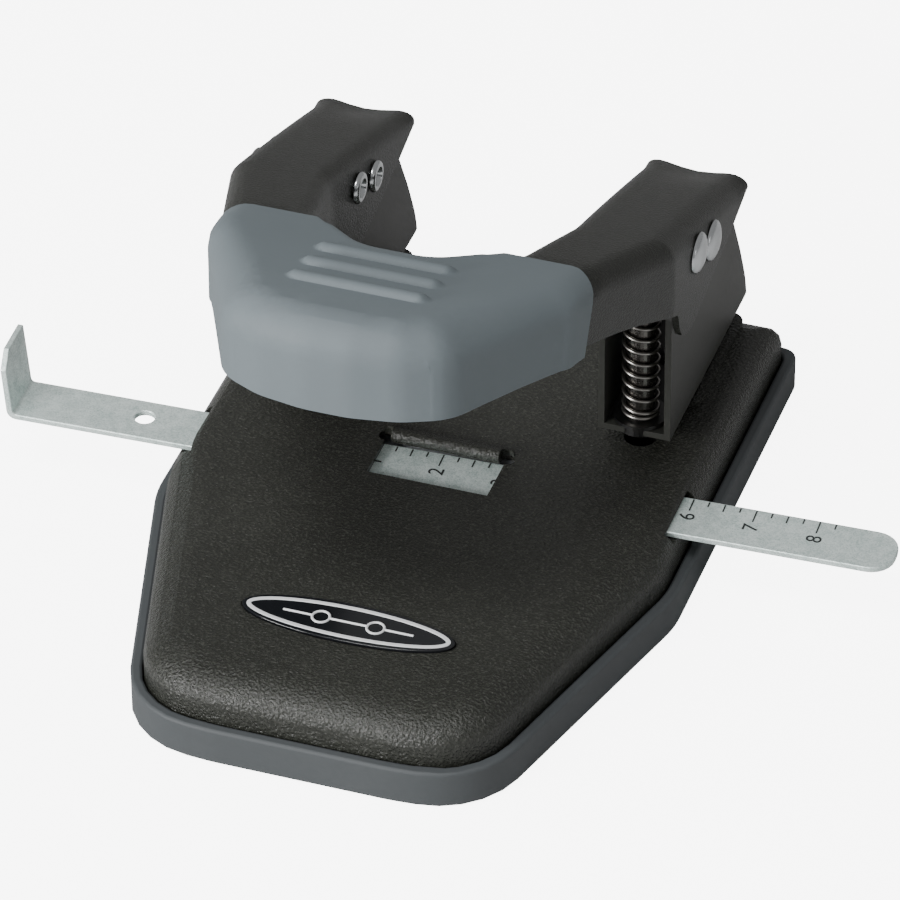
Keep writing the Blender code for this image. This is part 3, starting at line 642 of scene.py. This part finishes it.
def make_spring(name, x):
    """Return spring: a wire ring swept along a helix with its end turns closed up."""
    wire, coil = 0.36, 3.5
    low, high = 23.26, 49.5
    ends, end_pitch = 1.0, 0.86
    turns = 8.4
    pitch = (high - low - 2 * ends * end_pitch) / turns
    bpy.ops.mesh.primitive_circle_add(vertices=12, radius=wire * MM, location=(coil * MM, 0, 0),
                                      rotation=(pi / 2, 0, 0))
    spring = named(name)
    settle(spring)
    steps = 36
    count = round((turns + 2 * ends) * steps)
    begin_edit()
    bpy.ops.mesh.select_all(action="SELECT")
    bpy.ops.transform.translate(value=(0, 0, low * MM))
    for step in range(count):
        closed = step < ends * steps or step >= count - ends * steps
        rise = (end_pitch if closed else pitch) / steps
        bpy.ops.mesh.extrude_edges_move()
        bpy.ops.transform.rotate(value=2 * pi / steps, orient_axis="Z", center_override=(0, 0, 0))
        bpy.ops.transform.translate(value=(0, 0, rise * MM))
    pick("EDGE", lambda edge: edge.is_boundary)
    bpy.ops.mesh.edge_face_add()
    bpy.ops.mesh.select_all(action="SELECT")
    bpy.ops.mesh.normals_make_consistent(inside=False)
    end_edit()
    spring.data.transform(Matrix.Translation((x, PIN_Y, 0)))
    return smooth(spring, 50.0)


# ---------------------------------------------------------------- badge and scale

def make_badge_ring():
    """Raised oval rim of the badge."""
    low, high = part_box("badge_plate")
    centre = (low + high) / 2
    margin, steps = 0.9 * MM, 96
    half_x, half_y = (high.x - low.x) / 2, (high.y - low.y) / 2
    rim = [(centre.x + (half_x - margin) * cos(2 * pi * step / steps),
            centre.y + (half_y - margin) * sin(2 * pi * step / steps)) for step in range(steps)]
    ring = face_on("badge_ring", rim, high.z - 0.1 * MM)
    begin_edit()
    bpy.ops.mesh.select_all(action="SELECT")
    bpy.ops.mesh.inset(thickness=0.85 * MM, use_boundary=True)
    bpy.ops.mesh.delete(type="FACE")
    bpy.ops.mesh.select_all(action="SELECT")
    bpy.ops.mesh.extrude_region_move(TRANSFORM_OT_translate={"value": (0, 0, 0.22 * MM)})
    end_edit()
    recalc(ring)
    smooth(ring)
    return soften(ring, 0.07 * MM, 2, 50.0)


def make_badge_mark():
    """Plain mark on the badge: two raised rings on a bar, for two holes in a sheet."""
    low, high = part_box("badge_plate")
    centre = (low + high) / 2
    line = 0.26 * MM
    parts = []
    for x in (-5.5, 5.5):
        place = (centre.x + x * MM, centre.y, high.z)
        bpy.ops.mesh.primitive_torus_add(major_radius=1.7 * MM, minor_radius=line, major_segments=40,
                                         minor_segments=10, location=place)
        parts.append(settle_scaled(named("mark")))
    for x, reach in ((0, 3.9), (-10.2, 2.9), (10.2, 2.9)):
        place = (centre.x + x * MM, centre.y, high.z)
        bpy.ops.mesh.primitive_cylinder_add(vertices=12, radius=line, depth=2 * reach * MM,
                                            location=place, rotation=(0, pi / 2, 0))
        parts.append(settle_scaled(named("mark")))
    return smooth(joined(parts, "badge_mark"), 50.0)


def relief_hole(side):
    """Cutter for the round relief at one end of the window's folded lip."""
    bpy.ops.mesh.primitive_cylinder_add(vertices=32, radius=1.55 * MM, depth=6 * MM,
                                        location=(side * 12.5 * MM, WINDOW_REAR, 17.5 * MM))
    return settle(named("relief_hole"))


def make_window_lip():
    """Rolled edge along the rear of the scale window."""
    bpy.ops.mesh.primitive_cylinder_add(vertices=40, radius=1.35 * MM, depth=22.4 * MM,
                                        location=(0, WINDOW_REAR, 16.95 * MM), rotation=(0, pi / 2, 0))
    lip = settle(named("window_lip"))
    begin_edit()
    pick("FACE", lambda face: abs(face.normal.x) > 0.9)
    bpy.ops.mesh.inset(thickness=0.35 * MM)
    end_edit()
    smooth(lip)
    return soften(lip, 0.2 * MM, 3)


def make_scale():
    """Marks of an eighth of an inch along the gauge's rear edge, every fourth one long and numbered."""
    yaw, centre_y, top = radians(2.0), -8.45 * MM, 15.3 * MM
    start = 5.45 * MM
    parts = []
    for index in range(-4, 26):
        x = index * EIGHTH_INCH
        long = index % 4 == 0
        length = (3.6 if long else 2.2 if index % 2 == 0 else 1.5) * MM
        bpy.ops.mesh.primitive_cube_add(size=1.0, location=(x, start - length / 2, top + 0.01 * MM))
        mark = named("mark")
        mark.scale = (0.30 * MM, length, 0.07 * MM)
        parts.append(settle_scaled(mark))
        if long:
            bpy.ops.object.text_add(location=(x + 1.5 * MM, start - length - 3.0 * MM, top + 0.02 * MM))
            label = bpy.context.object
            label.data.body = str(index // 4 + 2)
            label.data.size = 4.4 * MM
            label.data.extrude = 0.03 * MM
            label.rotation_euler = (0, 0, pi / 2)
            bpy.ops.object.convert(target="MESH")
            parts.append(settle_scaled(bpy.context.object))
    scale = joined(parts, "gauge_scale_marks")
    begin_edit()
    bpy.ops.mesh.select_all(action="SELECT")
    bpy.ops.mesh.remove_doubles(threshold=0.000002)
    end_edit()
    scale.data.transform(Matrix.Translation((0, centre_y, 0)) @ Matrix.Rotation(yaw, 4, "Z"))
    return scale


# ---------------------------------------------------------------- assembly

hand_over(make_lever(), "lever", LEVER_BLACK, "black_paint", "lever_plate")
hand_over(make_grip(), "lever", GRIP_RUBBER, "grip_rubber", "lever_grip")
for side, sign in SIDES:
    for kind, yz in (("pivot", PIVOT_YZ), ("drive", DRIVE_YZ)):
        node = f"{side}_{kind}_rivet"
        hand_over(make_lever_rivet(node + "_turned", yz, sign), "lever", BRIGHT, "bright_rivet", node)
    node = side + "_return_spring"
    spring = hand_over(make_spring(side + "_coil_spring", sign * PIN_X), "base", SPRING_STEEL,
                       "spring_steel", node)
    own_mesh(spring)
    node = side + "_frame"
    hand_over(refined(node, 0.35 * MM, 3), "base", FRAME_BLACK, "frame_paint", node)

cover = refined("base_cover", 0.3 * MM, 3, [relief_hole(sign) for side, sign in SIDES])
hand_over(cover, "base", BLACK, "black_paint", "base_cover")
hand_over(make_window_lip(), "base", BLACK, "black_paint")
hand_over(refined("chip_tray", 0.6 * MM, 3), "tray", GREY_RUBBER, "grey_rubber", "chip_tray")
hand_over(refined("edge_gauge", 0.18 * MM, 2), "gauge", ZINC, "zinc_plate", "edge_gauge")
hand_over(refined("badge_plate", 0.12 * MM, 2), "base", ENAMEL, "badge_enamel", "badge_plate")
hand_over(make_badge_ring(), "base", SILVER, "badge_enamel")
hand_over(make_badge_mark(), "base", SILVER, "badge_enamel")
hand_over(make_scale(), "gauge", MARK_INK, "zinc_plate")

NODE_FINISHES = {"gauge_guide": PLAIN_STEEL, "stop_block": DARK_STEEL, "guide_bush": DARK_STEEL,
                 "die_plate": DARK_STEEL, "spring_collar": DARK_STEEL, "punch_pin": SHADED_PIN_STEEL,
                 "frame_rivet_front": BRIGHT, "frame_rivet_rear": BRIGHT, "inner_washer": NYLON,
                 "outer_washer": NYLON}
for name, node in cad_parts.items():
    plain = name.replace("right_", "").replace("left_", "")
    if plain in NODE_FINISHES:
        node.data.materials.clear()
        node.data.materials.append(NODE_FINISHES[plain])


# ---------------------------------------------------------------- floor, lights and camera

BACKDROP = 7.0


def make_floor():
    """Pale floor that the camera alone sees as bright as the backdrop."""
    bpy.ops.mesh.primitive_plane_add(size=6.0, location=(0, 0, -0.0004))
    floor = named("studio_floor")
    settle(floor)
    material = new_material("pale floor", (0.62, 0.62, 0.62), (0.64, 0.64, 0.64), 0.9, 0.95, grain=300.0,
                            relief=0.001)
    shader = material.node_tree.nodes["Principled BSDF"]
    shader.inputs["Emission Color"].default_value = (1, 1, 1, 1)
    path = material.node_tree.nodes.new("ShaderNodeLightPath").outputs["Is Camera Ray"]
    material.node_tree.links.new(spread(material.node_tree, path, 0.0, 1.0, 0.0, BACKDROP),
                                 shader.inputs["Emission Strength"])
    floor.data.materials.append(material)


def add_area(name, location, target, size, power):
    """Rectangular light turned towards a target."""
    bpy.ops.object.light_add(type="AREA", location=location)
    light = bpy.context.object
    light.name = name
    light.data.shape = "RECTANGLE"
    light.data.size, light.data.size_y = size
    light.data.energy = power
    light.rotation_euler = (Vector(target) - Vector(location)).to_track_quat("-Z", "Y").to_euler()


def make_world():
    """Soft fill from all sides, with a bright backdrop that only the camera sees."""
    world = bpy.data.worlds.new("studio")
    bpy.context.scene.world = world
    world.use_nodes = True
    world.node_tree.nodes["Background"].inputs["Color"].default_value = (1, 1, 1, 1)
    path = world.node_tree.nodes.new("ShaderNodeLightPath").outputs["Is Camera Ray"]
    world.node_tree.links.new(spread(world.node_tree, path, 0.0, 1.0, 0.30, BACKDROP),
                              world.node_tree.nodes["Background"].inputs["Strength"])


def make_camera():
    """Long lens from the front right and above."""
    azimuth, elevation, roll = radians(19.02), radians(37.48), radians(-0.46)
    back = Vector((sin(azimuth) * cos(elevation), -cos(azimuth) * cos(elevation), sin(elevation)))
    right = (-back).cross(Vector((0, 0, 1))).normalized()
    up = right.cross(-back)
    right, up = right * cos(roll) + up * sin(roll), up * cos(roll) - right * sin(roll)
    bpy.ops.object.camera_add()
    camera = bpy.context.object
    turn = Matrix((right, up, back)).transposed().to_4x4()
    camera.matrix_world = Matrix.Translation(Vector((0, 0, 14.43 * MM)) + back * 1376.47 * MM) @ turn
    camera.data.sensor_width = 36.0
    camera.data.lens = 280.0
    camera.data.clip_start = 0.05
    bpy.context.scene.camera = camera


make_floor()
make_world()
add_area("key", (-0.80, -1.10, 0.46), (0, -0.02, 0.03), (0.50, 0.34), 21.0)
add_area("top", (-0.14, -0.42, 0.90), (0, -0.04, 0.02), (0.30, 0.24), 5.6)
add_area("side", (1.1, -0.4, 0.35), (0, 0, 0.04), (0.35, 0.35), 0.45)
make_camera()
